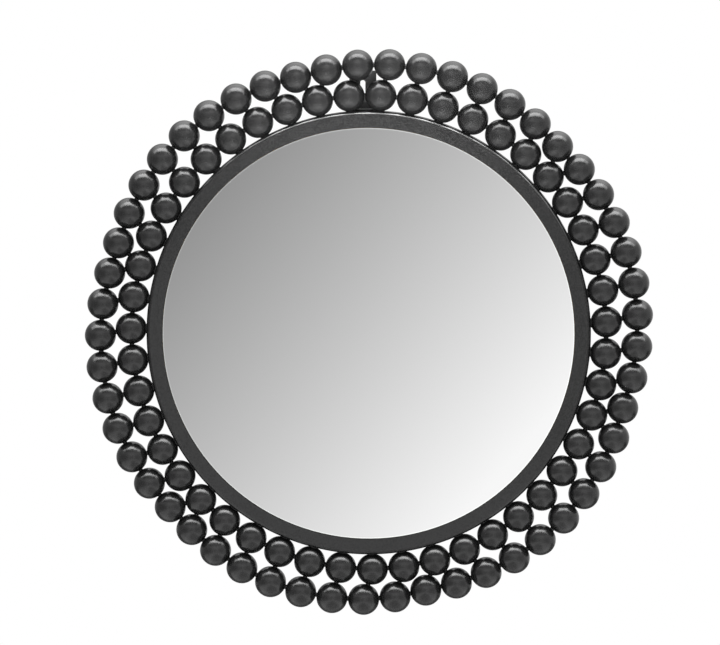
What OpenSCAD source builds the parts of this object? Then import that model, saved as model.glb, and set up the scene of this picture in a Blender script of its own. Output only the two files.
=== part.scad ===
// Round wall mirror in a steel frame that carries two nested rings of hollow steel balls.
// The mirror hangs on one wall screw by a slotted plate behind the top balls.
// Millimetres. X points right, -Y out of the wall towards the viewer, +Z up.
// The origin is the centre of the hanging slot's upper round end, on the wall plane.

/* [Mirror glass] */
// Diameter of the glass
glass_d = 525.6; // [300:0.1:900]
// Thickness of the glass
glass_t = 3; // [2:0.5:6]
// Width of the flat ground along both edges of the glass
glass_arris = 0.5; // [0.2:0.1:0.9]
// Clearance all round between the glass and the opening of the front ring
glass_gap = 0.6; // [0.3:0.1:2]

/* [Front ring] */
// Width of the flat ring, from its opening to its outer edge
ring_w = 20.6; // [14:0.1:60]
// Thickness of the ring
ring_t = 3; // [2.5:0.5:4]
// Radius that rounds the outer front edge
ring_edge_r = 2; // [0.5:0.1:2.3]
// Chamfer around the opening
ring_chamfer = 0.4; // [0.1:0.1:1]
// How far the front of the ring stands ahead of the centres of the balls
front_reach = 14; // [12:0.5:30]

/* [Rim] */
// Wall thickness of the rim behind the ring
rim_t = 2; // [1:0.25:4]

/* [Backing board] */
// Thickness of the board that carries the glass
board_t = 6; // [3:0.5:8]
// Clearance between the board and the rim
board_gap = 0.5; // [0.2:0.1:2]
// Thickness of the double-sided tape under the glass
tape_t = 0.6; // [0.4:0.1:1.5]
// Width of one strip of tape
tape_w = 25; // [10:1:40]
// Spacing of the strips of tape
tape_pitch = 72; // [50:1:110]
// Shortest strip of tape that is used
tape_min_l = 60; // [30:5:100]
// Bare edge left between the ends of the tape and the edge of the glass
tape_margin = 12; // [5:1:40]

/* [Retaining tabs] */
// Number of tabs that hold the board in the rim
tab_count = 8; // [3:1:16]
// Width of a tab along the rim
tab_w = 14; // [8:1:24]
// Thickness of a tab
tab_t = 1.5; // [1:0.25:2]
// Length of the foot that lies on the board
tab_foot = 18; // [8:1:30]
// Length of the leg along the rim
tab_leg = 10; // [6:1:12]
// Outside radius of the bend between foot and leg
tab_bend = 2.5; // [2.2:0.1:5]
// Leg length of the weld at the end of a tab
tab_weld = 1.5; // [0.5:0.25:2]

/* [Balls] */
// Diameter of a ball
ball_d = 40; // [34:1:60]
// Wall thickness of a ball
ball_wall = 1; // [0.6:0.1:3]
// Gap that a weld bridges between two touching balls
nest_gap = 0.6; // [0.2:0.1:2]
// Gap between the rim and the inner balls
rim_gap = 0.1; // [0.1:0.05:1]
// Smallest gap between neighbours in the outer ring
outer_gap = 0.1; // [0.1:0.05:1]
// Angle from the top of the mirror, to the left, of the first inner ball
inner_turn = 4.74; // [0:0.01:8]
// Angle from the top of the mirror, to the left, of the first outer ball
outer_turn = 2.33; // [0:0.01:8]

/* [Ball welds] */
// Diameter of the weld between two balls
ball_weld_d = 6; // [3:0.5:10]
// Diameter of the weld between an inner ball and the rim
rim_weld_d = 12; // [4:0.5:14]

/* [Hanging plate] */
// Thickness of the plate
hanger_t = 2; // [1.5:0.5:4]
// Width of the plate
hanger_w = 34.5; // [24:0.5:80]
// Distance of the plate's centre line to the left of the mirror's centre
hanger_left = 8; // [0:0.5:20]
// How far the top of the plate lies below the lowest centres of the outer balls
hanger_drop = 4; // [0:0.5:6]
// Overlap of the plate inside the rim
hanger_lap = 14; // [6:1:40]
// Radius of the plate's corners
hanger_corner_r = 2; // [0.5:0.5:8]
// Width of the hanging slot
slot_w = 6.5; // [5:0.5:14]
// Length of the hanging slot
slot_l = 20.5; // [16:0.5:24]
// Metal above the slot
slot_margin = 12; // [5:0.5:12]
// Leg length of the welds that hold the plate to the rim
hanger_weld = 3; // [1:0.5:3]
// Bare length of the plate's edge beside each end of its welds
hanger_weld_margin = 3; // [1:0.5:8]
// Clearance between the plate and the backs of the balls
hanger_gap = 0.1; // [0.1:0.1:2]

/* [Hidden] */
// The balls of each ring are kept in this many arcs.
ball_arcs = 6;

$fn = 120;

// Fit between a weld and the ball or rim that it joins
weld_fit = 0.01;

black = "#1b1b1d";
steel = "#3a3a3d";

// Radii of the round pieces, from the glass outwards.
glass_r = glass_d / 2;
opening_r = glass_r + glass_gap;
frame_r = opening_r + ring_w;
rim_in_r = frame_r - rim_t;
board_r = rim_in_r - board_gap;
ball_r = ball_d / 2;

// Heights above the wall plane, from the wall outwards.
ball_h = hanger_t + hanger_gap + ball_r;
front_h = ball_h + front_reach;
ring_back_h = front_h - ring_t;
board_back_h = ring_back_h - board_t;
glass_back_h = ring_back_h + tape_t;

// The inner ring holds as many balls as fit around the rim with a weld gap between them.
nest_pitch = ball_d + nest_gap;
inner_r = frame_r + rim_gap + ball_r;
inner_count = floor(180 / asin(nest_pitch / (2 * inner_r)));
inner_step = 360 / inner_count;

// Radius at which an outer ball, standing off_angle away from an inner ball, rests against it.
function rest_r(off_angle) =
    inner_r * cos(off_angle) + sqrt(pow(nest_pitch, 2) - pow(inner_r * sin(off_angle), 2));

// The outer ring is closest in where a ball lies in the valley between two inner balls,
// and it holds as many balls as fit around at that radius.
valley_r = rest_r(inner_step / 2);
outer_count = floor(180 / asin((ball_d + outer_gap) / (2 * valley_r)));
outer_step = 360 / outer_count;

function inner_angle(i) = 90 + inner_turn + i * inner_step;
function outer_angle(k) = 90 + outer_turn + k * outer_step;

// The inner ball nearest to outer ball k, and the outer ball's angle past it.
function nearest_inner(k) = round((outer_angle(k) - inner_angle(0)) / inner_step);
function off_angle(k) = outer_angle(k) - inner_angle(nearest_inner(k));

function polar(radius, angle) = [radius * cos(angle), radius * sin(angle), ball_h];
function inner_centre(i) = polar(inner_r, inner_angle(i));
function outer_centre(k) = polar(rest_r(off_angle(k)), outer_angle(k));

// Balls first to last of arc a in a ring of count balls
function arc_members(a, count) =
    [for (i = [0:count - 1]) if (floor(i * ball_arcs / count) == a - 1) i];

// Places on the hanging plate, from the centre of the mirror.
hanger_top = valley_r - hanger_drop;
hanger_bottom = rim_in_r - hanger_lap;
hanger_angle = 90 + asin(hanger_left / frame_r);
slot_top = hanger_top - slot_margin;
hang_point = [-hanger_left, slot_top - slot_w / 2, 0];

// Stands a piece up that is modelled lying on its back, with the mirror's centre at the
// origin and its height as Z, and moves the hanging point to the origin.
module hung() {
    rotate([90, 0, 0])
        translate(-hang_point)
            children();
}

// A turned piece of limited length, centred on an angle
module turned_arc(angle, length, radius) {
    sweep = length / radius * 180 / PI;
    rotate(angle - sweep / 2)
        rotate_extrude(angle = sweep)
            children();
}

module rounded_rectangle(width, height, radius) {
    translate([radius, 0])
        square([width - 2 * radius, height]);
    translate([0, radius])
        square([width, height - 2 * radius]);
    for (x = [radius, width - radius], y = [radius, height - radius])
        translate([x, y])
            circle(radius);
}

// An upright slot with round ends, from its lowest point up
module slot(width, height) {
    end_r = width / 2;
    translate([-end_r, end_r])
        square([width, height - width]);
    for (y = [end_r, height - end_r])
        translate([0, y])
            circle(end_r);
}

// Outline of the glass from its axis, with a flat ground along both edges
module glass_section() {
    translate([0, glass_back_h])
        polygon([
            [0, 0],
            [glass_r - glass_arris, 0],
            [glass_r, glass_arris],
            [glass_r, glass_t - glass_arris],
            [glass_r - glass_arris, glass_t],
            [0, glass_t]
        ]);
}

// Round mirror glass, which stands in the opening of the front ring
module mirror_glass() {
    color("lightgray")
        rotate_extrude()
            glass_section();
}

// Upright strips of double-sided tape between the glass and the board
module mounting_tape() {
    tape_r = glass_r - tape_margin;
    taped_w = 2 * sqrt(pow(tape_r, 2) - pow(tape_min_l / 2, 2));
    tape_count = floor((taped_w - tape_w) / tape_pitch) + 1;
    color("white")
        for (i = [0:tape_count - 1]) {
            x = (i - (tape_count - 1) / 2) * tape_pitch;
            half_l = sqrt(pow(tape_r, 2) - pow(abs(x) + tape_w / 2, 2));
            translate([x - tape_w / 2, -half_l, ring_back_h])
                cube([tape_w, 2 * half_l, tape_t]);
        }
}

// Section of the flat ring, rounded at its outer edge and chamfered at its opening
module front_ring_section() {
    difference() {
        union() {
            translate([opening_r, ring_back_h])
                square([ring_w - ring_edge_r, ring_t]);
            translate([opening_r, ring_back_h])
                square([ring_w, ring_t - ring_edge_r]);
            translate([frame_r - ring_edge_r, front_h - ring_edge_r])
                intersection() {
                    circle(ring_edge_r);
                    square(ring_edge_r);
                }
        }
        translate([opening_r, front_h])
            rotate(45)
                square(ring_chamfer * sqrt(2), center = true);
    }
}

// Flat steel ring around the glass
module front_ring() {
    color(black)
        rotate_extrude()
            front_ring_section();
}

// Rolled steel band behind the ring, which carries the balls
module rim_band() {
    color(black)
        rotate_extrude()
            translate([rim_in_r, hanger_t])
                square([rim_t, ring_back_h - hanger_t]);
}

// Board behind the glass, seated on the back of the front ring
module backing_board() {
    color("#9a7650")
        translate([0, 0, board_back_h])
            cylinder(r = board_r, h = board_t);
}

// Section of a tab: a foot on the board, a bend and a leg down the rim
module tab_section() {
    bend_centre = [rim_in_r - tab_bend, board_back_h - tab_bend];
    translate([rim_in_r - tab_foot, board_back_h - tab_t])
        square([tab_foot - tab_bend, tab_t]);
    translate([rim_in_r - tab_t, board_back_h - tab_leg])
        square([tab_t, tab_leg - tab_bend]);
    translate(bend_centre)
        intersection() {
            difference() {
                circle(tab_bend);
                circle(tab_bend - tab_t);
            }
            square(tab_bend);
        }
}

function tab_angle(i) = 90 + (i - 0.5) * 360 / tab_count;

// One bent steel tab that holds the board against the ring
module retaining_tab(i) {
    color(steel)
        turned_arc(tab_angle(i), tab_w, rim_in_r)
            tab_section();
}

// Fillet weld between the end of each tab's leg and the rim
module tab_welds() {
    leg_end_h = board_back_h - tab_leg;
    throat = min(tab_weld, tab_t);
    color(steel)
        for (i = [1:tab_count])
            turned_arc(tab_angle(i), tab_w, rim_in_r)
                polygon([
                    [rim_in_r, leg_end_h],
                    [rim_in_r - throat, leg_end_h],
                    [rim_in_r, leg_end_h - tab_weld]
                ]);
}

// Hollow steel ball
module ball(centre) {
    translate(centre)
        difference() {
            sphere(ball_r);
            sphere(ball_r - ball_wall);
        }
}

// One arc of the inner ring, whose balls stand against the rim
module inner_balls(a) {
    color(black)
        for (i = arc_members(a, inner_count))
            ball(inner_centre(i));
}

// One arc of the outer ring, whose balls nest against the inner balls
module outer_balls(a) {
    color(black)
        for (k = arc_members(a, outer_count))
            ball(outer_centre(k));
}

// How far a ball's surface falls back from its nearest point at radius r of a weld
function fall_back(r) = ball_r - sqrt(pow(ball_r, 2) - pow(r, 2));

// Half section of the side of a weld that lies on a ball. It is flat up to height h, where
// the ball comes closest, and then flares along the ball's tangent at the weld's edge.
function weld_side(weld_r, h) = [
    [0, h],
    [weld_r - fall_back(weld_r) * (ball_r - fall_back(weld_r)) / weld_r, h],
    [weld_r, h + fall_back(weld_r)]
];

// Weld between two balls: a round neck on the line of centres, flared onto both balls
module ball_weld(from, to) {
    line = to - from;
    pitch = norm(line);
    side = weld_side(ball_weld_d / 2, pitch / 2 - ball_r - weld_fit);
    far_side = [for (i = [len(side) - 1:-1:0]) [side[i][0], -side[i][1]]];
    translate(from + line / 2)
        rotate([0, 90, atan2(line[1], line[0])])
            rotate_extrude()
                polygon(concat(side, far_side));
}

module inner_ring_welds() {
    color(black)
        for (i = [0:inner_count - 1])
            ball_weld(inner_centre(i), inner_centre(i + 1));
}

module outer_ring_welds() {
    color(black)
        for (k = [0:outer_count - 1])
            ball_weld(outer_centre(k), outer_centre(k + 1));
}

// Each outer ball is welded to the inner ball that it rests against.
module ring_to_ring_welds() {
    color(black)
        for (k = [0:outer_count - 1])
            ball_weld(inner_centre(nearest_inner(k)), outer_centre(k));
}

// Weld between the rim and each inner ball: a round neck, flat where it lies on the rim
module rim_welds() {
    side = weld_side(rim_weld_d / 2, rim_gap - 2 * weld_fit);
    color(black)
        for (i = [0:inner_count - 1])
            translate(polar(frame_r + weld_fit, inner_angle(i)))
                rotate([0, 90, inner_angle(i)])
                    rotate_extrude()
                        polygon(concat([[0, 0]], side, [[rim_weld_d / 2, 0]]));
}

// Steel plate across the rear edge of the rim, with an upright slot for the wall screw
module hanging_plate() {
    color(black)
        translate([-hanger_left, 0, 0])
            linear_extrude(hanger_t)
                difference() {
                    translate([-hanger_w / 2, hanger_bottom])
                        rounded_rectangle(hanger_w, hanger_top - hanger_bottom, hanger_corner_r);
                    translate([0, slot_top - slot_l])
                        slot(slot_w, slot_l);
                }
}

// Fillet welds between the plate and both sides of the rim
module hanging_plate_welds() {
    length = hanger_w - 2 * hanger_weld_margin;
    color(black)
        for (side = [[rim_in_r, -1], [frame_r, 1]])
            turned_arc(hanger_angle, length, side[0])
                polygon([
                    [side[0], hanger_t],
                    [side[0] + side[1] * hanger_weld, hanger_t],
                    [side[0], hanger_t + hanger_weld]
                ]);
}

hung() mirror_glass();
hung() mounting_tape();
hung() front_ring();
hung() rim_band();
hung() backing_board();
for (i = [1:tab_count])
    hung() retaining_tab(i);
hung() tab_welds();
for (a = [1:ball_arcs]) {
    hung() inner_balls(a);
    hung() outer_balls(a);
}
hung() inner_ring_welds();
hung() outer_ring_welds();
hung() ring_to_ring_welds();
hung() rim_welds();
hung() hanging_plate();
hung() hanging_plate_welds();
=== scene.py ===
import math

import bpy
import numpy as np
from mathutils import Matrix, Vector


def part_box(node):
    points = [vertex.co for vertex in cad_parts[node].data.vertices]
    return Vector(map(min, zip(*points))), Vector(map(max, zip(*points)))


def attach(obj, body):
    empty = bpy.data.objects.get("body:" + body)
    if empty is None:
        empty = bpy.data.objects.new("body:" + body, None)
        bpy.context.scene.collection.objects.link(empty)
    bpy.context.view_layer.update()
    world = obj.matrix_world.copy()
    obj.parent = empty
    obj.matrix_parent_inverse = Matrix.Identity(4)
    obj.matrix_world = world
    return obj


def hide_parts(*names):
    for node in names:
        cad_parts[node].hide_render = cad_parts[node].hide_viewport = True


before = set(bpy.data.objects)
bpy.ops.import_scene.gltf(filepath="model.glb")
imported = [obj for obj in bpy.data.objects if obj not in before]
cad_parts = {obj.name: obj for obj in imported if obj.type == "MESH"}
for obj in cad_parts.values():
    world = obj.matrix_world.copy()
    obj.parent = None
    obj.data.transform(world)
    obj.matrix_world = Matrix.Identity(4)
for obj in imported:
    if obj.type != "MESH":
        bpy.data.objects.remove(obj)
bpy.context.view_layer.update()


# Camera
# The photograph's view: a long lens nearly seven metres in front of the mirror, a little above
# it and to its right, aimed just beside the middle of the glass.
glass_low, glass_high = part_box("mirror_glass")
glass_centre = (glass_low + glass_high) / 2
camera_distance = 6.81
camera_lift = math.radians(4.65)
camera_turn = math.radians(1.57)
camera_lens = 266.8
sensor_width = 36
view_end = 50
aim_left = 0.01065
aim_up = 0.01444

camera = bpy.data.objects.new("camera", bpy.data.cameras.new("camera"))
bpy.context.scene.collection.objects.link(camera)
camera.data.lens = camera_lens
camera.data.sensor_width = sensor_width
camera.data.clip_end = view_end
camera_way = Vector((
    math.sin(camera_turn) * math.cos(camera_lift),
    -math.cos(camera_turn) * math.cos(camera_lift),
    math.sin(camera_lift),
))
aim = glass_centre + Vector((-aim_left, 0, aim_up))
camera.location = glass_centre + camera_distance * camera_way
camera.rotation_mode = "QUATERNION"
camera.rotation_quaternion = (aim - camera.location).to_track_quat("-Z", "Y")
bpy.context.scene.camera = camera
bpy.context.scene.view_settings.view_transform = "Standard"


# Mirror glass
# Float glass, 3 mm thick, silvered on its back, which returns four fifths of the light. Along
# its edge runs a narrow line, ground and then polished, whose paler tint is a painted highlight.
glass_r = (glass_high.x - glass_low.x) / 2
edge_line_w = 0.0011
edge_line_blur = 0.0002
silver_tint = (0.80, 0.80, 0.80, 1)
# Painted highlight: the ground line's paler tint makes it shine brighter than the silvering.
ground_highlight_tint = (0.98, 1.0, 0.99, 1)
silver_roughness = 0.012
haze_per_metre = 9
haze_roughness = 0.01
ground_roughness = 0.03
frosting_per_metre = 1500
frosting_roughness = 0.06
frosting_loss = 0.08


class Signal:
    """A shader socket. Arithmetic on it adds Math nodes, and node() adds any other node."""

    def __init__(self, tree, socket=None):
        self.tree = tree
        self.socket = socket

    def node(self, kind, settings=(), sockets=(), output=0):
        """Adds a node, sets its settings and then its sockets, and gives one of its outputs."""
        made = self.tree.nodes.new("ShaderNode" + kind)
        for name, setting in dict(settings).items():
            setattr(made, name, setting)
        for name, given in dict(sockets).items():
            if isinstance(given, Signal):
                self.tree.links.new(given.socket, made.inputs[name])
            else:
                made.inputs[name].default_value = given
        return Signal(self.tree, made.outputs[output]) if made.outputs else None

    def math(self, operation, *numbers):
        return self.node("Math", {"operation": operation}, enumerate(numbers))

    def __add__(self, other):
        return self.math("ADD", self, other)

    def __sub__(self, other):
        return self.math("SUBTRACT", self, other)

    def __rsub__(self, other):
        return self.math("SUBTRACT", other, self)

    def __mul__(self, other):
        return self.math("MULTIPLY", self, other)

    def __truediv__(self, other):
        return self.math("DIVIDE", self, other)

    def __pow__(self, other):
        return self.math("POWER", self, other)

    __radd__ = __add__

    def most(self, other):
        """The larger of the two."""
        return self.math("MAXIMUM", self, other)

    def rise(self, low, high):
        """0 below low and 1 above high, with a smooth step between them."""
        return self.node(
            "MapRange",
            {"interpolation_type": "SMOOTHSTEP"},
            {"Value": self, "From Min": low, "From Max": high},
        )

    def between(self, first, second):
        """The colour that lies this share of the way from the first colour to the second."""
        return self.node("Mix", {"data_type": "RGBA"}, {0: self, 6: first, 7: second}, 2)

    def vector(self, operation, *others, output=0):
        vectors = enumerate((self, *others))
        return self.node("VectorMath", {"operation": operation}, vectors, output)

    def from_point(self, point):
        """These coordinates, measured from a point."""
        return self.vector("SUBTRACT", tuple(point))

    def stretched(self, factors):
        """These coordinates, each times its own factor."""
        return self.vector("MULTIPLY", factors)

    def length(self):
        return self.vector("LENGTH", output="Value")

    def dot(self, way):
        """How far these coordinates lie along a way."""
        return self.vector("DOT_PRODUCT", way, output="Value")

    def part(self, axis):
        """One of the three coordinates: X, Y or Z."""
        return self.node("SeparateXYZ", {}, {0: self}, axis)

    def noise(self, scale, detail=2):
        """Soft noise from 0 to 1 on these coordinates, with patches about 1 / scale wide."""
        return self.node("TexNoise", {}, {"Vector": self, "Scale": scale, "Detail": detail})


def new_finish(name):
    """An empty material, and the Object coordinates on which its detail is drawn."""
    material = bpy.data.materials.new(name)
    material.use_nodes = True
    material.node_tree.nodes.clear()
    return material, Signal(material.node_tree).node("TexCoord", output="Object")


def close_finish(place, sockets):
    """Ends a material with one Principled surface that has these values and links."""
    surface = place.node("BsdfPrincipled", {}, sockets)
    place.node("OutputMaterial", {}, {"Surface": surface})


def dress(node, material):
    """Gives a CAD node its material."""
    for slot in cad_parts[node].material_slots:
        slot.material = material


def silvered_glass():
    """The silvering and the ground line, which is shaded as if it lay flat in the glass's face."""
    material, place = new_finish("silvered_glass")
    from_axis = place.from_point(glass_centre).stretched((1, 0, 1)).length()
    line_from = glass_r - edge_line_w
    ground = from_axis.rise(line_from - edge_line_blur, line_from)
    frosting = place.noise(frosting_per_metre, detail=3)
    roughness = silver_roughness + place.noise(haze_per_metre) * haze_roughness
    facing = place.node("NewGeometry", output="Normal")
    flat = place.node("Mix", {"data_type": "VECTOR"}, {0: ground, 4: facing, 5: (0, -1, 0)}, 1)
    close_finish(place, {
        # The ground line's paler tint is a painted highlight.
        "Base Color": ground.between(silver_tint, ground_highlight_tint),
        "Metallic": 1 - ground * frosting * frosting_loss,
        "Roughness": roughness + ground * (ground_roughness + frosting * frosting_roughness),
        "Normal": flat,
    })
    return material


dress("mirror_glass", silvered_glass())


# Mounting tape
# Strips of white closed-cell foam tape with adhesive on both faces. They stick the glass to
# the board.
cells_per_metre = 2200
cell_depth = 0.0001
cell_tint = (0.62, 0.62, 0.60, 1)
wall_tint = (0.80, 0.80, 0.78, 1)
cell_roughness = 0.85
wall_roughness = 0.1


def bumps(place, height, depth):
    """A normal for a relief of this height, from 0 to 1, and this depth in metres."""
    return place.node("Bump", {}, {"Height": height, "Distance": depth})


def foam_tape():
    material, place = new_finish("foam_tape")
    cells = place.node("TexVoronoi", {}, {"Vector": place, "Scale": cells_per_metre}, "Distance")
    close_finish(place, {
        "Base Color": cells.between(cell_tint, wall_tint),
        "Roughness": cell_roughness + cells * wall_roughness,
        "Normal": bumps(place, cells, cell_depth),
    })
    return material


dress("mounting_tape", foam_tape())


# Front ring
# Flat steel ring, cut from 3 mm plate and welded to the rim, with its outer edge eased. Its
# satin black coat has a fine grain and a slight orange peel, is painted a little paler low down
# and to the left as painted light, and is smooth over the eased edge, with a painted highlight
# along the top of it.
ring_low, ring_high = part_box("front_ring")
ring_front = ring_low.y
ring_t = ring_high.y - ring_front
frame_r = (ring_high.x - ring_low.x) / 2
glass_clear = 0.0006
opening_r = glass_r + glass_clear
ring_chamfer = 0.0004
ring_edge_w = 0.0051
ring_edge_deep = 0.006
ring_edge_steps = 14
edge_start_r = frame_r - ring_edge_w
ring_sides = 288
crease = math.radians(40)
crease_guard = 0.0003
edge_smooth_w = 0.0015
edge_smoothing = 0.65
# Painted highlight: a paler, half-metallic line along the top of the ring's eased edge.
highlight_start = (0.0016, 0.0022)
highlight_end = (0.0032, 0.0038)
highlight_way = (0.19, 0, 0.98)
highlight_reach = (0.5, 0.9)
painted_highlight_tint = (0.15, 0.15, 0.15, 1)
highlight_metal = 0.5
# Painted light: the ring's coat is painted paler low down and to the left.
painted_light_way = (-0.5, 0, -0.87)
painted_light_reach = (-0.1, 0.4)
painted_light_share = 0.36
dark_share = np.array((0.1, 0.1, 0.1))
pale_share = np.array((1.9, 1.9, 1.92))
coat_shade = 0.35
drifts_per_metre = 16
drift_shade = 0.3
drift_roughness = 0.06
flecks_per_metre = 560
fleck_roughness = 0.12
peel_per_metre = 340
peel_share = 0.75
specks_per_metre = 260
speck_limits = (0.72, 0.8)
speck_shade = 0.25


def powder_coat(name, tone, gloss, grain, relief, ior=1.5, edge_from=None):
    """A coat of this tone and roughness, with a grain of this strength and a relief in metres.

    Its tone drifts slowly from place to place, the fleck is its grain and the peel its orange
    peel, and a few specks in it are paler. Where edge_from is given, it is how far from the
    mirror's axis the ring's eased edge starts; then the coat is painted paler low down and to the
    left as painted light, and gets a painted highlight, paler and half metallic, along the top of
    the eased edge.
    """
    material, place = new_finish(name)
    drift = place.noise(drifts_per_metre, detail=3)
    fleck = place.noise(flecks_per_metre, detail=3)
    peel = place.noise(peel_per_metre)
    speck = place.noise(specks_per_metre, detail=1).rise(*speck_limits)
    shade = coat_shade + drift * drift_shade + (fleck - 0.5) * grain + speck * speck_shade
    roughness = gloss + (drift - 0.5) * drift_roughness + (fleck - 0.5) * fleck_roughness
    metallic = 0
    if edge_from:
        from_middle = place.from_point(glass_centre).stretched((1, 0, 1))
        from_axis = from_middle.length()
        # Painted light: the coat's shade is raised low down and to the left.
        shade += (from_middle.dot(painted_light_way) / from_axis).rise(*painted_light_reach) * painted_light_share
        past = (from_axis - edge_from).most(0)
        roughness *= 1 - past.rise(0, edge_smooth_w) * edge_smoothing
        # Painted highlight: a band on the eased edge where it faces up.
        line = past.rise(*highlight_start) * (1 - past.rise(*highlight_end))
        edge_highlight = line * (from_middle.dot(highlight_way) / from_axis).rise(*highlight_reach)
        metallic = edge_highlight * highlight_metal
    colour = shade.between((*(tone * dark_share), 1), (*(tone * pale_share), 1))
    # The painted highlight's paler colour.
    if edge_from:
        colour = edge_highlight.between(colour, painted_highlight_tint)
    close_finish(place, {
        "Base Color": colour,
        "Metallic": metallic,
        "Roughness": roughness,
        "IOR": ior,
        "Normal": bumps(place, peel * peel_share + fleck * (1 - peel_share), relief),
    })
    return material


def around(radius, angle, y):
    """Points at these radii and angles around the axis of the mirror, at these places along it."""
    radius, angle, y = np.broadcast_arrays(radius, angle, y)
    x = glass_centre.x + radius * np.cos(angle)
    z = glass_centre.z + radius * np.sin(angle)
    return np.stack([x, y, z], axis=-1)


def loop_quads(loops, sides, closed=False):
    """Quads from each loop of corners to the next, and from the last to the first if closed."""
    here = np.arange(sides)
    after = (here + 1) % sides
    rows = sides * np.arange(loops)[:, None]
    next_rows = np.roll(rows, -1, axis=0)
    quads = np.stack([rows + here, rows + after, next_rows + after, next_rows + here], -1)
    return quads[:loops if closed else loops - 1].reshape(-1, 4)


def add_piece(name, corners, faces, material, slot, *nodes):
    """Makes one piece of equal shells, each with its own row of corners, in place of CAD nodes."""
    shells = np.arange(len(corners))[:, None, None] * corners.shape[1]
    joined = []
    for kind in faces:
        joined += (shells + kind).reshape(-1, kind.shape[1]).tolist()
    mesh = bpy.data.meshes.new(name)
    mesh.from_pydata(corners.reshape(-1, 3).tolist(), [], joined)
    mesh.shade_smooth()
    mesh.materials.append(material)
    piece = bpy.data.objects.new(name, mesh)
    bpy.context.scene.collection.objects.link(piece)
    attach(piece, "root")
    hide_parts(*nodes)
    return piece


def eased_edge(first_depth, last_depth):
    """Radii and depths along the eased edge, from one depth behind the ring's face to another.

    The edge is a quarter ellipse: at the turn t, the radius is r - w (1 - sin t) and the depth
    is d (1 - cos t), for the outer radius r and an edge w wide and d deep.
    """
    turns = np.arccos(1 - np.array((first_depth, last_depth)) / ring_edge_deep)
    turn = np.linspace(turns[0], turns[1], ring_edge_steps)
    return frame_r - ring_edge_w * (1 - np.sin(turn)), ring_edge_deep * (1 - np.cos(turn))


def add_turned_ring(name, radii, depths, material, node):
    """A ring turned about the mirror's axis, whose section is a closed loop of corners.

    Each corner has its radius and its depth behind the ring's face.
    """
    angle = 2 * np.pi * np.arange(ring_sides)[:, None] / ring_sides
    corners = around(radii, angle, ring_front + depths).reshape(1, -1, 3)
    faces = [loop_quads(ring_sides, len(radii), closed=True)]
    ring = add_piece(name, corners, faces, material, "black_frame", node)
    ring.data.set_sharp_from_angle(angle=crease)


def add_front_ring(coat):
    """Its section runs from the chamfered opening over the face and the eased edge to the back.

    One loop of corners just inside the eased edge keeps the face flat up to there.
    """
    edge_radii, edge_depths = eased_edge(0, ring_t)
    face_radii = opening_r, opening_r + ring_chamfer, edge_start_r - crease_guard
    radii = np.concatenate([face_radii, edge_radii, [opening_r]])
    depths = np.concatenate([[ring_chamfer, 0, 0], edge_depths, [ring_t]])
    add_turned_ring("ring_plate", radii, depths, coat, "front_ring")


add_front_ring(powder_coat("ring_coat", tone=0.0095, gloss=0.40, grain=4, relief=0.00006, ior=1.46,
                           edge_from=edge_start_r))


# Rim
# Steel strip, 2 mm thick, rolled to a hoop and welded behind the front ring, whose eased edge
# runs on over its front corner. It shows between the balls and from behind, and has a coat
# like the ring's.
rim_t = 0.002
rim_inner_r = frame_r - rim_t
rim_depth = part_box("rim_band")[1].y - ring_front


def add_rim(coat):
    """Its section runs from the front over the rest of the eased edge and the wall to the back."""
    edge_radii, edge_depths = eased_edge(ring_t, ring_edge_deep)
    wall_depths = ring_edge_deep + crease_guard, rim_depth, rim_depth
    radii = np.concatenate([[rim_inner_r], edge_radii, [frame_r, frame_r, rim_inner_r]])
    depths = np.concatenate([[ring_t], edge_depths, wall_depths])
    add_turned_ring("rim_hoop", radii, depths, coat, "rim_band")


add_rim(powder_coat("rim_coat", tone=0.014, gloss=0.42, grain=0.5, relief=0.00004))


# Backing board
# Disc of raw medium-density fibreboard that carries the glass. Its face is brown, with matted
# fibres and darker flecks.
dark_fibre = (0.20, 0.125, 0.068, 1)
pale_fibre = (0.52, 0.37, 0.22, 1)
board_shade = 0.15
clouds_per_metre = 12
cloud_shade = 0.45
fibres_per_metre = 240
cross_fibres_per_metre = 260
fibre_shape = 6
fibre_shade = 1.4
fibre_depth = 0.0002
board_flecks_per_metre = 900
board_fleck_limits = (0.64, 0.76)
board_fleck_shade = 0.35
board_roughness = 0.78
fibre_roughness = 0.15


def fibreboard():
    """Two layers of noise, stretched across each other, mat together as the fibres do."""
    material, place = new_finish("fibreboard")
    cloud = place.noise(clouds_per_metre, detail=4)
    fibres = place.stretched((1, 1, fibre_shape)).noise(fibres_per_metre, detail=5)
    cross_fibres = place.stretched((fibre_shape, 1, 1)).noise(cross_fibres_per_metre, detail=5)
    matted = (fibres + cross_fibres) / 2
    flecks = place.noise(board_flecks_per_metre).rise(*board_fleck_limits)
    shade = board_shade + cloud * cloud_shade + (matted - 0.5) * fibre_shade
    close_finish(place, {
        "Base Color": (shade - flecks * board_fleck_shade).between(dark_fibre, pale_fibre),
        "Roughness": board_roughness + matted * fibre_roughness,
        "Normal": bumps(place, matted, fibre_depth),
    })
    return material


dress("backing_board", fibreboard())


# Retaining tabs
# Bent steel strip, 14 mm wide. A foot presses on the board and the leg lies along the rim. The
# dark paint is scuffed through in small patches.
dark_paint = (0.030, 0.030, 0.031, 1)
bare_steel = (0.20, 0.20, 0.205, 1)
scuffs_per_metre = 420
scuff_shape = (1, 5, 1)
scuff_limits = (0.62, 0.72)
scuff_share = 0.7
scuff_depth = 0.00003
dust_per_metre = 45
dust_share = 0.2
paint_roughness = 0.48
scuff_polish = 0.12
dust_roughness = 0.1


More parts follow.
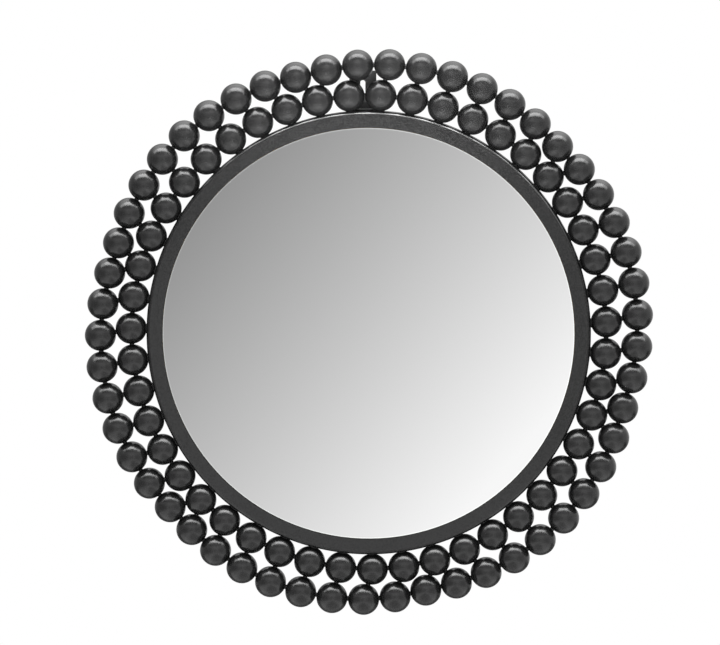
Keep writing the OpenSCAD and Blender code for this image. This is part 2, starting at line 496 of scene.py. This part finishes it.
def rubbed_steel():
    material, place = new_finish("rubbed_steel")
    scuffs = place.stretched(scuff_shape).noise(scuffs_per_metre, detail=4)
    scuffed = scuffs.rise(*scuff_limits)
    dust = place.noise(dust_per_metre, detail=3)
    bareness = scuffed * scuff_share
    close_finish(place, {
        "Base Color": (bareness + dust * dust_share).between(dark_paint, bare_steel),
        "Metallic": bareness,
        "Roughness": paint_roughness - scuffed * scuff_polish + dust * dust_roughness,
        "Normal": bumps(place, scuffs, scuff_depth),
    })
    return material


tab_finish = rubbed_steel()
tab_nodes = sorted(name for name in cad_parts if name.startswith("retaining_tab_"))
for tab in tab_nodes:
    dress(tab, tab_finish)


# Inner balls
# Hollow steel balls, 40 mm across, pressed in halves, welded and ground round. They stand
# around the rim, black and a little glossier than the ring.
ball_r = 0.02
rim_gap = 0.0001
ball_rings = 31
ball_sides = 64
inner_count = 47
inner_turn = math.radians(4.74)
arc_count = 6
z_to_front = np.array([(1, 0, 0), (0, 0, 1), (0, -1, 0)])
arc_low, arc_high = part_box("inner_balls_1")
ball_plane = (arc_low.y + arc_high.y) / 2
inner_r = frame_r + rim_gap + ball_r


def turned(radius, height):
    """Corners of a turned shape about the Z axis, with a pole at each end.

    Ring i has its corner j at the angle 2 pi j / sides, radius[i, j] from the axis and
    height[i, j] along it. The poles lie on the axis, at the heights of the first and last ring's
    row of height, which belong to them alone.
    """
    sides = radius.shape[1]
    angle = 2 * np.pi * np.arange(sides) / sides
    walls = np.stack([radius * np.cos(angle), radius * np.sin(angle), height], axis=-1)
    poles = np.array([(0, 0, height[0, 0]), (0, 0, height[-1, 0])])
    return np.concatenate([walls[1:-1].reshape(-1, 3), poles])


def turned_faces(rings, sides):
    """Quads between neighbouring rings, and a fan of triangles around each pole."""
    here = np.arange(sides)
    after = (here + 1) % sides
    low, high = rings * sides, rings * sides + 1
    last = (rings - 1) * sides
    low_fan = np.stack([np.full(sides, low), after, here], -1)
    high_fan = np.stack([np.full(sides, high), last + here, last + after], -1)
    return loop_quads(rings, sides), np.concatenate([low_fan, high_fan])


def add_balls(name, node, centres, material):
    """Balls at these centres, with their poles at the back and the front.

    Of n rings, ring i lies at the angle pi i / (n + 1) from the pole at the back.
    """
    polar = np.linspace(0, np.pi, ball_rings + 2)[:, None] + np.zeros(ball_sides)
    ball = turned(ball_r * np.sin(polar), -ball_r * np.cos(polar))
    copies = centres[:, None] + ball @ z_to_front
    add_piece(name, copies, turned_faces(ball_rings, ball_sides), material, "black_balls", node)


def arc_members(arc, count):
    """The balls of one arc in a ring of count balls."""
    members = np.arange(count)
    return members[members * arc_count // count == arc]


ball_coat = powder_coat("ball_coat", tone=0.011, gloss=0.23, grain=0.2, relief=0.000006)
inner_angles = math.pi / 2 + inner_turn + 2 * math.pi * np.arange(inner_count) / inner_count
inner_centres = around(inner_r, inner_angles, ball_plane)
for arc in range(arc_count):
    members = inner_centres[arc_members(arc, inner_count)]
    add_balls(f"inner_ball_arc_{arc + 1}", f"inner_balls_{arc + 1}", members, ball_coat)


# Outer balls
# The same balls in a second ring. Each rests against the inner ball nearest to it, so the ring
# lies closer in where a ball falls in the valley between two inner ones.
outer_count = 53
outer_turn = math.radians(2.33)
nest_pitch = 0.0406

outer_angles = math.pi / 2 + outer_turn + 2 * math.pi * np.arange(outer_count) / outer_count
steps_past_first = (outer_angles - inner_angles[0]) * inner_count / (2 * math.pi)
nearest_inner = np.round(steps_past_first).astype(int) % inner_count
off_angles = outer_angles - inner_angles[nearest_inner]
outer_radii = inner_r * np.cos(off_angles)
outer_radii += np.sqrt(nest_pitch ** 2 - (inner_r * np.sin(off_angles)) ** 2)
outer_centres = around(outer_radii, outer_angles, ball_plane)
for arc in range(arc_count):
    members = outer_centres[arc_members(arc, outer_count)]
    add_balls(f"outer_ball_arc_{arc + 1}", f"outer_balls_{arc + 1}", members, ball_coat)


# Ball welds
# Short necks of weld metal between touching balls, under the same coat. The bead flows onto
# both balls in a hollow fillet and is never quite round.
weld_r = 0.003
weld_sink = 0.00012
weld_sides = 12
weld_rings = 5
weld_unevenness = 0.07
wave_weights = (0.2, 1)
wall_way = np.array((0.0, -1.0, 0.0))
uneven = np.random.default_rng(47)


def uneven_rim(count, sides, amount):
    """A factor near 1 around each weld: 1 and three waves with drawn phases and weights."""
    angle = 2 * np.pi * np.arange(sides) / sides
    waves = np.zeros((count, 1, sides))
    for wave in (1, 2, 3):
        phase = uneven.uniform(0, 2 * np.pi, (count, 1, 1))
        waves += uneven.uniform(*wave_weights, (count, 1, 1)) * np.sin(wave * angle + phase)
    return 1 + amount * waves


def stood(corners, origins, axes):
    """Copies of corners with their Z axis along each axis and their origin at each origin.

    X goes to the way out of the wall, to which every axis is square, and Y to their cross
    product, so that no copy is turned inside out.
    """
    axes = axes / np.linalg.norm(axes, axis=-1, keepdims=True)
    across = np.broadcast_to(wall_way, axes.shape)
    turns = np.stack([across, np.cross(axes, across), axes], axis=-1)
    return origins[:, None] + np.einsum("nij,nkj->nki", turns, corners)


def add_necks(name, node, radius, height, origins, axes):
    """Welds with these radii and heights along their rings, each closed around two poles."""
    rings, sides = radius.shape[1:]
    foot = height.min(axis=(1, 2), keepdims=True) * np.ones((1, 1, sides))
    crown = height.max(axis=(1, 2), keepdims=True) * np.ones((1, 1, sides))
    radius = np.concatenate([0 * foot, radius, 0 * crown], axis=1)
    height = np.concatenate([foot, height, crown], axis=1)
    necks = np.stack([turned(r, h) for r, h in zip(radius, height)])
    corners = stood(necks, origins, axes)
    add_piece(name, corners, turned_faces(rings, sides), weld_coat, "black_welds", node)


def add_ball_welds(name, node, starts, ends):
    """Necks between pairs of balls, whose end rings sink a little into the balls.

    The fillet is a circle that touches both balls: with waist a, ball radius R and half the
    pitch h, its radius is (a^2 + h^2 - R^2) / (2 (R - a)), and its centre lies that much
    outside the waist. Its rings run over the circle from one ball to the other.
    """
    ways = ends - starts
    half = np.linalg.norm(ways, axis=1)[:, None, None] / 2
    waist = weld_r * uneven_rim(len(ways), weld_sides, weld_unevenness)
    fillet = (waist ** 2 + half ** 2 - ball_r ** 2) / (2 * (ball_r - waist))
    share = np.linspace(-1, 1, weld_rings)[None, :, None]
    turn = share * np.arcsin(half / (ball_r + fillet))
    radius = waist + fillet * (1 - np.cos(turn))
    height = fillet * np.sin(turn) + weld_sink * ((share == 1) * 1.0 - (share == -1))
    add_necks(name, node, radius, height, (starts + ends) / 2, ways)


weld_coat = powder_coat("weld_coat", tone=0.012, gloss=0.36, grain=0.3, relief=0.00004)
add_ball_welds("inner_ring_necks", "inner_ring_welds",
               inner_centres, np.roll(inner_centres, -1, axis=0))
add_ball_welds("outer_ring_necks", "outer_ring_welds",
               outer_centres, np.roll(outer_centres, -1, axis=0))
add_ball_welds("nesting_necks", "ring_to_ring_welds",
               inner_centres[nearest_inner], outer_centres)


# Rim welds
# Wider necks that fix each inner ball to the rim. The bead spreads flat on the rim and climbs
# a little way up the ball.
rim_weld_r = 0.006
rim_weld_sides = 18
rim_weld_rings = 5
rim_weld_sink = 0.0002
rim_weld_unevenness = 0.05
trial_fillets = np.linspace(0.0003, 0.0012, 400)


def add_rim_welds():
    """Necks from the rim to each inner ball, which sink a little into both.

    The fillet is a circle of radius f that touches the rim, taken as flat, and the ball: its
    centre lies c from the weld's axis, where c^2 = (2 R + g)(2 f - g) for a ball of radius R
    that stands g off the rim, so the waist is c - f. The f of each waist is read from a row of
    trial ones. The rings run over the circle from the rim to the ball.
    """
    def centre_of(fillet):
        return np.sqrt((2 * ball_r + rim_gap) * (2 * fillet - rim_gap))

    trial_waists = centre_of(trial_fillets) - trial_fillets
    waist = rim_weld_r * uneven_rim(inner_count, rim_weld_sides, rim_weld_unevenness)
    fillet = np.interp(waist, trial_waists, trial_fillets)
    centre = centre_of(fillet)
    rise = np.arctan2(ball_r + rim_gap - fillet, centre)
    share = np.linspace(0, 1, rim_weld_rings)[None, :, None]
    turn = -np.pi / 2 + share * (np.pi / 2 + rise)
    radius = centre - fillet * np.cos(turn)
    height = fillet + fillet * np.sin(turn)
    height += rim_weld_sink * ((share == 1) * 1.0 - (share == 0))
    feet = around(frame_r, inner_angles, ball_plane)
    add_necks("rim_necks", "rim_welds", radius, height, feet, inner_centres - feet)


add_rim_welds()


# Hanging plate
# Steel plate, 2 mm thick, with an upright slot for the wall screw. It lies behind the top balls
# and its coat is a little duller than theirs.
dress("hanging_plate",
      powder_coat("plate_coat", tone=0.026, gloss=0.45, grain=0.5, relief=0.00004))


# Hanging plate welds
# Fillet welds along both sides of the rim where the plate crosses it. Each is a row of ripples,
# left by the weld pool as it moved, and tapers off at its ends.
plate_low, plate_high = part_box("hanging_plate")
bead_leg = 0.003
bead_margin = 0.003
bead_stations = 61
bead_steps = 9
bead_end_share = 0.25
bead_hollow = 0.14
ripple_pitch = 0.0016
ripple_share = 0.1


def bead(radius, side, mid_angle, length, leg, base_y, front=-1):
    """Corners of one fillet weld that runs along an arc around the mirror's axis.

    Its stations are spread evenly over the arc. At each, the face runs from one foot to the
    other, and at the turn t it lies l (1 - h (1 - |cos 2 t|)) from the root of the weld, which
    is the station's last corner. The leg l is the whole leg times 1 - r |sin(pi s / p)| at the
    place s along the arc, for ripples of pitch p, and at both ends it shrinks to a quarter, as
    a quarter circle over one leg. The bead stands off its base towards the front of the mirror
    where front is -1 and towards its back where it is 1, and its stations run the way round
    that keeps its faces outward.
    """
    along = np.linspace(-0.5, 0.5, bead_stations) * length
    to_end = np.clip((length / 2 - np.abs(along)) / leg, 0, 1)
    ripple = 1 - ripple_share * np.abs(np.sin(np.pi * along / ripple_pitch))
    fullness = bead_end_share + (1 - bead_end_share) * np.sqrt(to_end * (2 - to_end))
    size = leg * ripple * fullness
    across = np.linspace(0, np.pi / 2, bead_steps)
    hollow = 1 - bead_hollow * (1 - np.abs(np.cos(2 * across)))
    out = size[:, None] * np.cos(across) * hollow
    up = size[:, None] * np.sin(across) * hollow
    out = np.concatenate([out, np.zeros((bead_stations, 1))], axis=1)
    up = np.concatenate([up, np.zeros((bead_stations, 1))], axis=1)
    angle = mid_angle + side * front * along[:, None] / radius
    return around(radius + side * out, angle, base_y + front * up).reshape(-1, 3)


def bead_faces():
    """Quads around each station's loop of corners, and a fan that closes each end."""
    loop = bead_steps + 1
    last = loop * (bead_stations - 1)
    root = bead_steps
    fan = np.arange(bead_steps - 1)
    first_end = np.stack([np.full_like(fan, root), fan + 1, fan], -1)
    last_end = np.stack([np.full_like(fan, last + root), last + fan, last + fan + 1], -1)
    return loop_quads(bead_stations, loop), np.concatenate([first_end, last_end])


def add_hanging_welds():
    length = plate_high.x - plate_low.x - 2 * bead_margin
    plate_x = (plate_low.x + plate_high.x) / 2
    mid_angle = math.pi / 2 + math.asin((glass_centre.x - plate_x) / frame_r)
    beads = np.stack([
        bead(rim_inner_r, -1, mid_angle, length, bead_leg, plate_low.y),
        bead(frame_r, 1, mid_angle, length, bead_leg, plate_low.y),
    ])
    add_piece("hanging_plate_beads", beads, bead_faces(), weld_coat, "black_welds",
              "hanging_plate_welds")


add_hanging_welds()


# Tab welds
# A short fillet weld joins the end of each tab's leg to the rim. It has the ripples of a hand
# weld and is painted with the tab.
tab_width = 0.014
tab_bead_leg = 0.0015
tab_count = len(tab_nodes)


def add_tab_welds():
    leg_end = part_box("tab_welds")[0].y
    angles = math.pi / 2 + (np.arange(tab_count) + 0.5) * 2 * math.pi / tab_count
    beads = np.stack([
        bead(rim_inner_r, -1, angle, tab_width, tab_bead_leg, leg_end, front=1)
        for angle in angles
    ])
    add_piece("tab_beads", beads, bead_faces(), tab_finish, "tab_steel", "tab_welds")


add_tab_welds()


# Floor
# A pale floor well below the mirror takes its shadow. It fades out towards its edge, and it is
# clear from below, so that the mirror can be seen from there.
floor_drop = 1.3
floor_r = 3.2
floor_fade = (0.45, 0.97)
floor_tint = (0.86, 0.86, 0.86, 1)


def add_stage(name, half, centre, upright, material):
    """A square stage sheet, upright and facing the mirror or level and facing up."""
    across = Vector((half, 0, 0))
    up = Vector((0, 0, half)) if upright else Vector((0, half, 0))
    mesh = bpy.data.meshes.new(name)
    mesh.from_pydata(
        [centre - across - up, centre + across - up, centre + across + up, centre - across + up],
        [],
        [(0, 1, 2, 3)],
    )
    mesh.materials.append(material)
    sheet = bpy.data.objects.new(name, mesh)
    bpy.context.scene.collection.objects.link(sheet)
    return sheet


def close_faded(place, surface, clearness):
    """Ends a stage material with a surface that turns clear as clearness goes from 0 to 1."""
    clear = place.node("BsdfTransparent")
    mixed = place.node("MixShader", {}, {0: clearness, 1: surface, 2: clear})
    place.node("OutputMaterial", {}, {"Surface": mixed})


def floor_finish(centre):
    material, place = new_finish("floor")
    out = place.from_point(centre).length() / floor_r
    below = place.node("NewGeometry", output="Backfacing")
    matt = place.node("BsdfDiffuse", {}, {"Color": floor_tint})
    close_faded(place, matt, out.rise(*floor_fade).most(below))
    return material


floor_centre = Vector((glass_centre.x, 0, glass_centre.z - floor_drop))
floor = add_stage("floor", floor_r, floor_centre, False, floor_finish(floor_centre))
floor.visible_glossy = False


# Reflected card
# A card three metres in front of the mirror, which only reflections see. It gives the glass its
# slow change from grey at the upper left to nearly white at the lower right.
card_distance = 3.0
card_half = 0.62
card_fade = 0.46
glass_shade = 198 / 255
shade_per_metre_right = 148 / 255
shade_per_metre_up = -129 / 255
darkest_shade = 0.4
brightest_shade = 0.965
shade_power = 2.2
silver_share = 0.795


def white_glow(place, strength):
    """White light of this strength, the same every way."""
    return place.node("Emission", {}, {"Color": (1, 1, 1, 1), "Strength": strength})


def card_finish(centre, spread):
    """Emission that the glass shows as a shade that changes evenly over it.

    The shade is worked out where the card shows in the glass, whose reflection of the card is
    spread times smaller. Its power is the light that leaves the glass, which is the silver's
    share of what the card gives.
    """
    material, place = new_finish("reflected_card")
    on_card = place.from_point(centre)
    shade = (
        glass_shade
        + on_card.part("X") * (shade_per_metre_right / spread)
        + on_card.part("Z") * (shade_per_metre_up / spread)
    )
    limits = {"Value": shade, "Min": darkest_shade, "Max": brightest_shade}
    level = shade.node("Clamp", {}, limits) ** shade_power
    glow = white_glow(place, level / silver_share)
    close_faded(place, glow, on_card.length().rise(card_fade, card_half))
    return material


card_spread = 1 + card_distance / camera_distance
card_centre = glass_centre + Vector((
    -card_distance * math.tan(camera_turn),
    -card_distance,
    -card_distance * math.tan(camera_lift),
))
card = add_stage("reflected_card", card_half, card_centre, True,
                 card_finish(card_centre, card_spread))


# Reflected table
# A level sheet below the mirror, which only reflections see. It gives the lower halves of the
# balls the light of a pale table, which has a dim patch in front of the mirror.
table_drop = 0.80
patch_ahead = 0.55
patch_shape = (1.45, 0.6, 1)
patch_level = 0.78
patch_edge = (0.3, 0.85)
table_level = 1.5
far_edge = (0.8, 1.2)
far_dimming = 0.3
behind_edge = (0.03, 0.30)
behind_dimming = 0.85
table_half = 2.4
table_fade = 0.6


def table_finish(centre):
    """Emission that grows away from the dim patch, an oval, and fades out behind the mirror."""
    material, place = new_finish("reflected_table")
    patch_centre = (centre.x, -patch_ahead, centre.z)
    out = place.from_point(patch_centre).stretched(patch_shape).length()
    brightening = out.rise(*patch_edge) * (table_level - patch_level)
    level = patch_level + brightening - out.rise(*far_edge) * far_dimming
    behind = place.part("Y").rise(*behind_edge)
    glow = white_glow(place, level * (1 - behind * behind_dimming))
    close_faded(place, glow, out.rise(table_half * table_fade, table_half))
    return material


table_centre = Vector((glass_centre.x, 0, glass_centre.z - table_drop))
table = add_stage("reflected_table", table_half, table_centre, False, table_finish(table_centre))


# Reflected glow
# A soft glow above and in front of the top, which only reflections see. It adds to the light
# from the studio and lifts the upper halves of the top balls.
glow_ahead = 0.36
glow_up = 0.60
glow_half = 0.24
glow_level = 1.1


def glow_finish(centre):
    material, place = new_finish("reflected_glow")
    out = place.from_point(centre).length()
    glow = white_glow(place, (1 - out.rise(0, glow_half)) * glow_level)
    added = place.node("AddShader", {}, {0: glow, 1: place.node("BsdfTransparent")})
    place.node("OutputMaterial", {}, {"Surface": added})
    return material


glow_centre = glass_centre + Vector((0, -glow_ahead, glow_up))
glow_sheet = add_stage("reflected_glow", glow_half, glow_centre, True, glow_finish(glow_centre))
for sheet in (card, table, glow_sheet):
    sheet.visible_camera = False
    sheet.visible_diffuse = False
    sheet.visible_transmission = False
    sheet.visible_shadow = False


# Lamps
# A long strip softbox, doubled along its middle, hangs high over the mirror and draws the
# crescents near the tops of the balls. Soft lamps in front and behind even out the light, a
# small one close to the top lifts the top of the ring, and one from below the top balls.
def add_softbox(name, centre, aim_at, width, height, level, glossy):
    """A softbox aimed at a point, whose light lies at this level over its whole area."""
    lamp = bpy.data.lights.new(name, "AREA")
    lamp.shape = "RECTANGLE"
    lamp.size = width
    lamp.size_y = height
    lamp.energy = math.pi * width * height * level
    holder = bpy.data.objects.new(name, lamp)
    bpy.context.scene.collection.objects.link(holder)
    holder.location = centre
    holder.rotation_mode = "QUATERNION"
    holder.rotation_quaternion = (aim_at - centre).to_track_quat("-Z", "Y")
    holder.visible_camera = False
    holder.visible_glossy = glossy
    return holder


strip_height = 5.0
strip_slope = math.radians(81)
strip_length = 13.5
strip_depth = 2.43
strip_level = 5.0
middle_length = 5.5
middle_level = 5.0
middle_lift = 0.02
strip_centre = glass_centre + Vector((0, -strip_height / math.tan(strip_slope), strip_height))
add_softbox("strip", strip_centre, glass_centre, strip_length, strip_depth, strip_level, True)
middle_centre = strip_centre + Vector((0, 0, middle_lift))
add_softbox("strip_middle", middle_centre, glass_centre, middle_length, strip_depth,
            middle_level, True)

fill_w = 1.6
fill_h = 1.3
front_level = 4.6
front_centre = glass_centre + Vector((0.3, -3.6, 0.5))
add_softbox("front_fill", front_centre, glass_centre, fill_w, fill_h, front_level, False)

rear_level = 3.0
rear_centre = glass_centre + Vector((-0.6, 3.6, 1.0))
add_softbox("rear_fill", rear_centre, glass_centre, fill_w, fill_h, rear_level, False)

top_w = 0.30
top_h = 0.10
top_level = 8.5
top_spread = math.radians(70)
top_centre = glass_centre + Vector((0, -0.38, 0.14))
top_aim = glass_centre + Vector((0, 0, 0.31))
top_fill = add_softbox("top_fill", top_centre, top_aim, top_w, top_h, top_level, False)
top_fill.data.spread = top_spread

kicker_w = 0.48
kicker_h = 0.30
kicker_level = 0.46
kicker_spread = math.radians(90)
kicker_centre = glass_centre + Vector((0, -0.25, -0.02))
kicker_aim = glass_centre + Vector((0, 0, 0.342))
kicker = add_softbox("kicker", kicker_centre, kicker_aim, kicker_w, kicker_h, kicker_level, True)
kicker.data.spread = kicker_spread
kicker.visible_diffuse = False


def soften(lamp):
    """Fades a softbox from 1 in its middle to 0 at its edges, as a parabola each way."""
    lamp.use_nodes = True
    lamp.node_tree.nodes.clear()
    spot = Signal(lamp.node_tree).node("NewGeometry", output="Parametric")
    across, down = spot.part("X"), spot.part("Y")
    fade = across * (1 - across) * down * (1 - down) * 16
    spot.node("OutputLight", {}, {"Surface": white_glow(spot, fade)})


soften(kicker.data)


# World
# The camera sees plain white. Matt surfaces get an even light, and glossy ones reflect a studio
# that is bright in front, to the right and high behind, and dark low down behind.
matt_level = 0.42
ahead_level = 0.97
ahead_steps = (
    ((-1, 0, 0), 0.1, 0.75, -0.57),
    ((1, 0, 0), 0.3, 0.6, -0.28),
    ((1, 0, 0), 0.88, 0.99, 0.28),
    ((0, 0, 1), 0.2, 0.42, 0.3),
    ((0, 0, 1), 0.5, 0.72, -0.75),
    ((0, 0, -1), 0.1, 0.5, 0.25),
)
behind_level = 0.08
behind_sides = ((1, 0, 0), -0.3, 0.4, 0.4)
behind_left_level = 0.38
behind_height = (-0.55, -0.1)
behind_top = ((0, 0, 1), 0.42, 0.95, 2.3)
ahead_to_behind = (-0.12, 0.12)


def set_world():
    """Light levels by the way that a ray goes, whose X, Y and Z lie between -1 and 1.

    Each step is a way, how far a ray has to lie along it for the level to start and to end its
    change, and that change. Ahead of the mirror the level falls off to the left, has a gap to
    the right and a bar above eye level, and rises low down. Behind the mirror it grows to the
    right and upwards.
    """
    def step(along, low, high, change):
        return way.dot(along).rise(low, high) * change

    world = bpy.data.worlds.new("studio")
    world.use_nodes = True
    world.node_tree.nodes.clear()
    bpy.context.scene.world = world
    way = Signal(world.node_tree).node("TexCoord", output="Generated")
    ahead = ahead_level + sum(step(*values) for values in ahead_steps)
    sides = behind_left_level + step(*behind_sides)
    behind = behind_level + sides * way.part("Z").rise(*behind_height) + step(*behind_top)
    reflected = ahead + (behind - ahead) * way.part("Y").rise(*ahead_to_behind)
    ray = way.node("LightPath", output="Is Camera Ray")
    through = way.node("LightPath", output="Is Transmission Ray")
    glossy = way.node("LightPath", output="Is Glossy Ray")
    seen = ray.most(through)
    unseen = matt_level + (reflected - matt_level) * glossy
    strength = unseen + (1 - unseen) * seen
    sky = way.node("Background", {}, {"Color": (1, 1, 1, 1), "Strength": strength})
    way.node("OutputWorld", {}, {"Surface": sky})


set_world()
